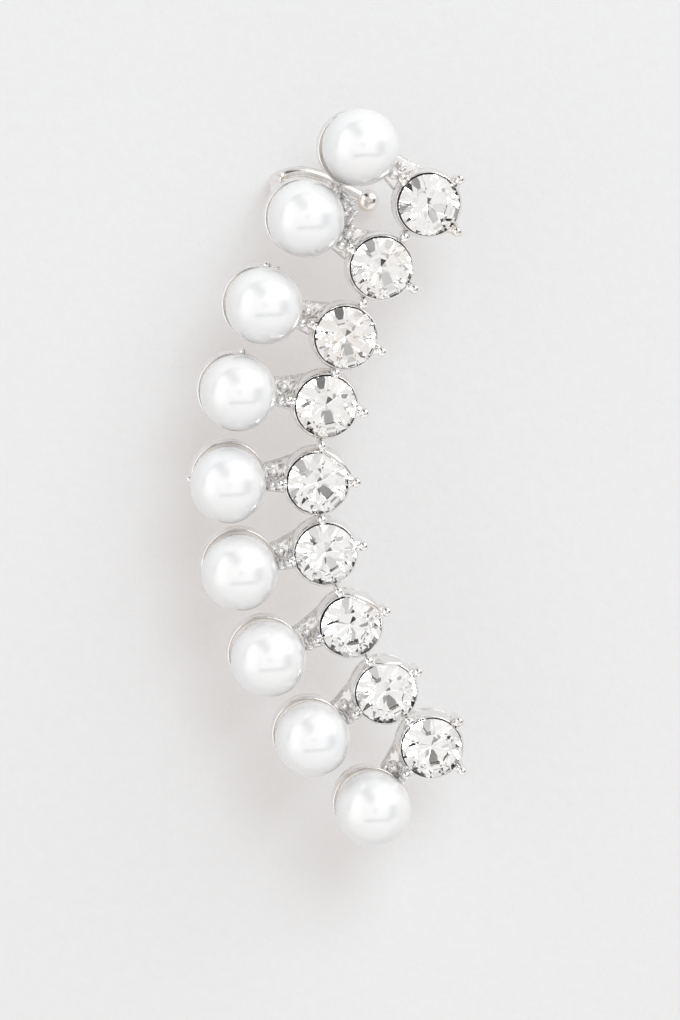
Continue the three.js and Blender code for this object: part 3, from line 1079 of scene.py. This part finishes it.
def make_stage():
    """Pale sheet, white tent, key light and camera."""
    alone(None)
    bpy.ops.mesh.primitive_plane_add(size=6.0, location=(0, 0, 0))
    floor = started("floor")
    floor.data.materials.append(finish("sheet", paper_finish))

    key = panel_light(
        "key_softbox", KEY_DIRECTION, KEY_DISTANCE, KEY_SIDE, KEY_GLOW, KEY_COLOUR)
    key.visible_glossy = False  # its reflection is the tent's brightest panel, with a soft edge
    make_tent()

    lean = VIEW_LEAN.normalized()
    data = bpy.data.cameras.new("camera")
    camera = bpy.data.objects.new("camera", data)
    bpy.context.scene.collection.objects.link(camera)
    camera.location = VIEW_TARGET + lean * VIEW_DISTANCE
    right = Vector((0, 1, 0)).cross(lean).normalized()
    up = lean.cross(right)
    roll = Matrix.Rotation(VIEW_ROLL, 3, lean)
    axes = Matrix((roll @ right, roll @ up, lean)).transposed()
    camera.rotation_mode = "QUATERNION"
    camera.rotation_quaternion = axes.to_quaternion()
    frame_height = PHOTO_HEIGHT / PIXELS_PER_MM * MM
    data.sensor_width = SENSOR_WIDTH
    data.lens = SENSOR_WIDTH * VIEW_DISTANCE / frame_height
    data.clip_start, data.clip_end = 0.01, 20.0
    bpy.context.scene.camera = camera
    bpy.context.scene.view_settings.view_transform = "Standard"


# ---- add-on

def length_property(name, description, default, low, high):
    return FloatProperty(
        name=name, description=description, default=default, min=low, max=high,
        unit="LENGTH", subtype="DISTANCE", precision=5)


def colour_property(name, description, default):
    return FloatVectorProperty(
        name=name, description=description, default=default, size=3, min=0.0, max=1.0,
        subtype="COLOR")


class CuffSizes(bpy.types.PropertyGroup):
    """Sizes of the cuff's repeated pieces."""
    pearl_diameter: length_property(
        "Pearl", "Diameter of a pearl", PEARL_HIGH.z - PEARL_LOW.z, 3 * MM, 8 * MM)
    stone_diameter: length_property("Stone", "Diameter of a cut stone", 3.96 * MM, 2 * MM, 6 * MM)
    stone_table: length_property("Table", "Width of a stone's table", 2.3 * MM, 1 * MM, 4 * MM)
    claw_ball: length_property(
        "Claw ball", "Diameter of a claw's ball tip", 0.68 * MM, 0.2 * MM, 1 * MM)
    wire_diameter: length_property(
        "Wire", "Diameter of the ear hook's wire", 0.9 * MM, 0.5 * MM, 1.2 * MM)
    hook_ball: length_property("Hook ball", "Diameter of the hook's ball", 1.5 * MM, 1 * MM, 2 * MM)


class CuffLook(bpy.types.PropertyGroup):
    """Colours of the cuff's finishes and its stage."""
    silver_colour: colour_property("Silver", "Plating colour", (0.9, 0.895, 0.89))
    # Also tints the painted shade at the glue's edge and inside the settings
    warm_silver_colour: colour_property(
        "Warm silver", "Plating where it has yellowed", (0.76, 0.67, 0.58))
    cast_colour: colour_property(
        "Casting", "Greyer plating on the rough castings", (0.69, 0.67, 0.65))
    solder_colour: colour_property("Solder", "Bright solder and beads", (0.95, 0.945, 0.94))
    # Also the colour of the painted shade on the hook's ball
    hook_colour: colour_property("Hook", "Yellowed plating of the ear hook", (0.78, 0.72, 0.65))
    seat_colour: colour_property(
        "Seat", "Pale glue between the cups and the pearls", (0.88, 0.865, 0.85))
    # The recesses' colour is painted shade, near black inside the settings
    painted_shade_colour: colour_property(
        "Recesses", "Browned plating inside cups and settings", (0.12, 0.09, 0.07))
    pearl_colour: colour_property("Pearl", "Body colour of the pearls", (0.705, 0.71, 0.71))
    pearl_cool_colour: colour_property(
        "Pearl, cool", "Cool clouds in the pearls", (0.69, 0.705, 0.72))
    pearl_warm_colour: colour_property(
        "Pearl, warm", "Warm clouds in the pearls", (0.72, 0.705, 0.705))
    crystal_colour: colour_property("Crystal", "Tint of the cut glass", (1.0, 1.0, 1.0))
    foil_colour: colour_property("Foil", "Mirror behind the stones", (0.97, 0.97, 0.965))
    champagne_colour: colour_property("Champagne", "Aged foil in some stones", (0.86, 0.66, 0.46))
    floor_colour: colour_property("Sheet", "Colour of the pale sheet", (0.32, 0.365, 0.388))
    floor_warm_colour: colour_property(
        "Sheet, warm", "Warm areas of the sheet", (0.317, 0.352, 0.37))


class CUFF_OT_pearls(bpy.types.Operator):
    """Adds the nine pearls"""
    bl_idname = "cuff.pearls"
    bl_label = "Pearls"

    def execute(self, context):
        make_pearls(context.scene.cuff_sizes)
        return {"FINISHED"}


class CUFF_OT_stones(bpy.types.Operator):
    """Adds the nine cut stones with their mirror foil"""
    bl_idname = "cuff.stones"
    bl_label = "Cut stones"

    def execute(self, context):
        make_stones(context.scene.cuff_sizes)
        return {"FINISHED"}


class CUFF_OT_cups(bpy.types.Operator):
    """Adds the nine pearl cups"""
    bl_idname = "cuff.cups"
    bl_label = "Pearl cups"

    def execute(self, context):
        make_cups()
        return {"FINISHED"}


class CUFF_OT_settings(bpy.types.Operator):
    """Adds the nine stone settings"""
    bl_idname = "cuff.settings"
    bl_label = "Stone settings"

    def execute(self, context):
        make_settings()
        return {"FINISHED"}


class CUFF_OT_arms(bpy.types.Operator):
    """Adds the nine arms with their beads"""
    bl_idname = "cuff.arms"
    bl_label = "Arms"

    def execute(self, context):
        make_arms()
        return {"FINISHED"}


class CUFF_OT_claws(bpy.types.Operator):
    """Adds the claws around the stones"""
    bl_idname = "cuff.claws"
    bl_label = "Claws"

    def execute(self, context):
        make_claws(context.scene.cuff_sizes)
        return {"FINISHED"}


class CUFF_OT_ear_hook(bpy.types.Operator):
    """Adds the ear hook with its ball"""
    bl_idname = "cuff.ear_hook"
    bl_label = "Ear hook"

    def execute(self, context):
        make_ear_hook(context.scene.cuff_sizes)
        return {"FINISHED"}


class CUFF_OT_solder_crust(bpy.types.Operator):
    """Adds the lumps of solder beside the second cup"""
    bl_idname = "cuff.solder_crust"
    bl_label = "Solder crust"

    def execute(self, context):
        make_solder_crust()
        return {"FINISHED"}


class CUFF_OT_lobe_post(bpy.types.Operator):
    """Adds the lobe post"""
    bl_idname = "cuff.lobe_post"
    bl_label = "Lobe post"

    def execute(self, context):
        make_lobe_post()
        return {"FINISHED"}


class CUFF_OT_stage(bpy.types.Operator):
    """Adds the pale sheet, the white tent, the key light and the camera"""
    bl_idname = "cuff.stage"
    bl_label = "Stage"

    def execute(self, context):
        make_stage()
        return {"FINISHED"}


STEPS = (
    CUFF_OT_pearls, CUFF_OT_stones, CUFF_OT_cups, CUFF_OT_settings, CUFF_OT_arms,
    CUFF_OT_claws, CUFF_OT_ear_hook, CUFF_OT_solder_crust, CUFF_OT_lobe_post,
    CUFF_OT_stage,
)


class CUFF_PT_pieces(bpy.types.Panel):
    """Lists the cuff's pieces, sizes and colours"""
    bl_idname = "CUFF_PT_pieces"
    bl_label = "Ear cuff"
    bl_space_type = "VIEW_3D"
    bl_region_type = "UI"
    bl_category = "Ear cuff"

    def draw(self, context):
        for step in STEPS:
            self.layout.operator(step.bl_idname)
        for group in (context.scene.cuff_sizes, context.scene.cuff_look):
            for name in group.__annotations__:
                self.layout.prop(group, name)


CLASSES = (CuffSizes, CuffLook, *STEPS, CUFF_PT_pieces)


def register():
    for item in CLASSES:
        bpy.utils.register_class(item)
    bpy.types.Scene.cuff_sizes = PointerProperty(type=CuffSizes)
    bpy.types.Scene.cuff_look = PointerProperty(type=CuffLook)


def unregister():
    del bpy.types.Scene.cuff_look
    del bpy.types.Scene.cuff_sizes
    for item in reversed(CLASSES):
        bpy.utils.unregister_class(item)


def main():
    register()
    for step in STEPS:
        family, name = step.bl_idname.split(".")
        getattr(getattr(bpy.ops, family), name)()


if __name__ == "__main__":
    main()
